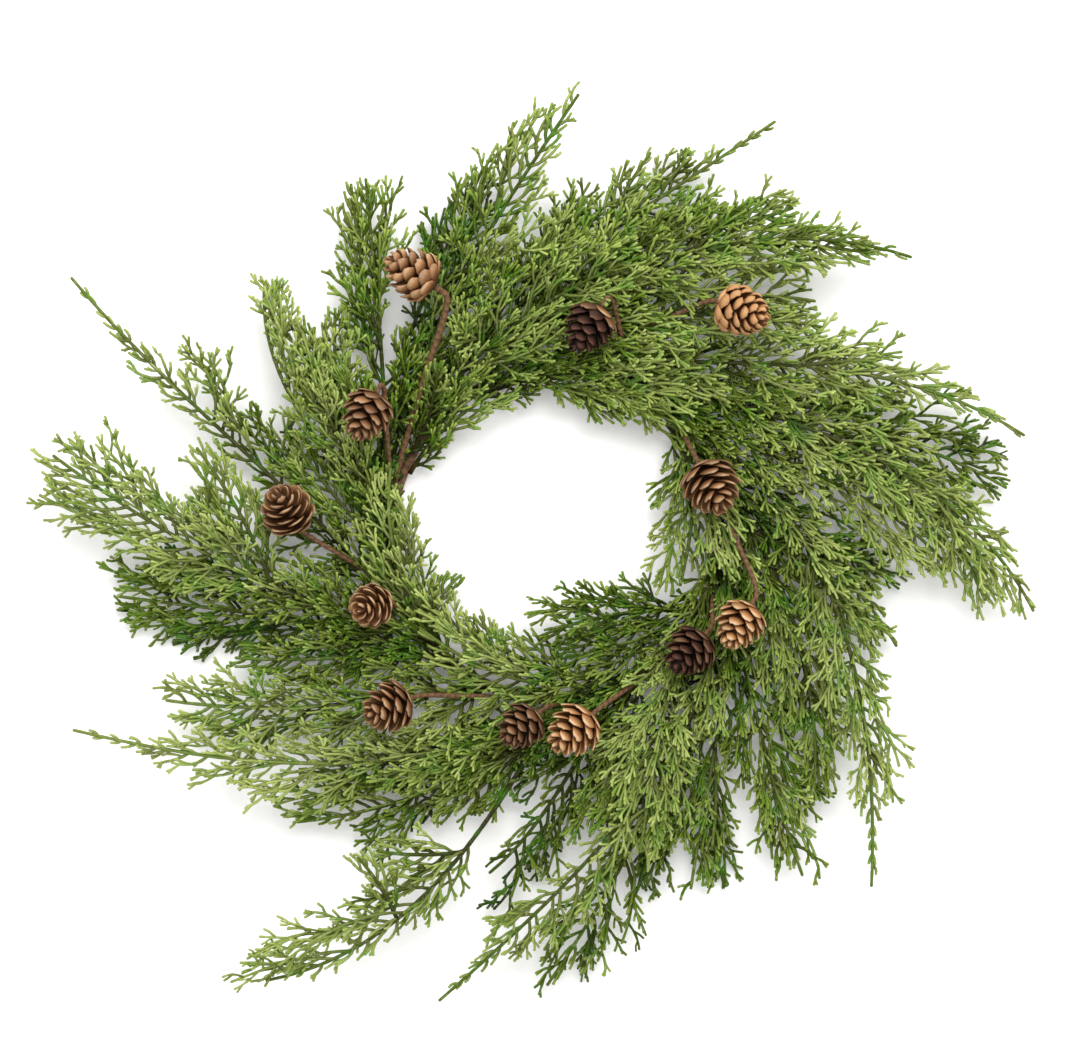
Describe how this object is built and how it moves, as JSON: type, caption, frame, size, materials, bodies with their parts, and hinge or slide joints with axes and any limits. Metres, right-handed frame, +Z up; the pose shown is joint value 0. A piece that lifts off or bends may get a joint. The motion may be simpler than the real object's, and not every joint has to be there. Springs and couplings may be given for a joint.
{
  "type": "candle ring",
  "caption": "Low table ring of cedar sprays and small cones that swirl clockwise round a taped hoop, open in the middle for a pillar candle.",
  "frame": {"origin": "on the table, under the middle of the whole arrangement's outline; the hoop's own centre is 6 mm along +X and 4.4 mm along +Y from it", "axes": "+Z up from the table, +X to the right and +Y away, in the usual view from above"},
  "size_m": [0.4536, 0.4105, 0.0477],
  "materials": {
    "cedar": "matte moulded scale leaves, yellow-green at the tips and dark green to brown along the stems",
    "cone": "dry natural cone scales, dull, paler along their edges",
    "tape": "waxed paper floral tape wound over wire, dull brown"
  },
  "bodies": {
    "root": {"hoop": "tape", "larch_cone_01": "cone", "cone_pick_01": "tape", "larch_cone_02": "cone", "cone_pick_02": "tape", "larch_cone_03": "cone", "cone_pick_03": "tape", "larch_cone_04": "cone", "cone_pick_04": "tape", "larch_cone_05": "cone", "cone_pick_05": "tape", "larch_cone_06": "cone", "cone_pick_06": "tape", "larch_cone_07": "cone", "cone_pick_07": "tape", "larch_cone_08": "cone", "cone_pick_08": "tape", "larch_cone_09": "cone", "cone_pick_09": "tape", "larch_cone_10": "cone", "cone_pick_10": "tape", "larch_cone_11": "cone", "cone_pick_11": "tape", "larch_cone_12": "cone", "cone_pick_12": "tape", "cedar_spray_01": "cedar", "cedar_spray_02": "cedar", "cedar_spray_03": "cedar", "cedar_spray_04": "cedar", "cedar_spray_05": "cedar", "cedar_spray_06": "cedar", "cedar_spray_07": "cedar", "cedar_spray_08": "cedar", "cedar_spray_09": "cedar", "cedar_spray_10": "cedar", "cedar_spray_11": "cedar", "cedar_spray_12": "cedar", "cedar_spray_13": "cedar", "cedar_spray_14": "cedar", "cedar_spray_15": "cedar", "cedar_spray_16": "cedar", "cedar_spray_17": "cedar", "cedar_spray_18": "cedar", "cedar_spray_19": "cedar", "cedar_spray_20": "cedar", "cedar_spray_21": "cedar", "cedar_spray_22": "cedar", "cedar_spray_23": "cedar", "cedar_spray_24": "cedar", "cedar_spray_25": "cedar", "cedar_spray_26": "cedar", "cedar_spray_27": "cedar", "cedar_spray_28": "cedar", "cedar_spray_29": "cedar", "cedar_spray_30": "cedar", "cedar_spray_31": "cedar", "cedar_spray_32": "cedar", "cedar_spray_33": "cedar", "cedar_spray_34": "cedar", "cedar_spray_35": "cedar"}
  },
  "joints": []
}
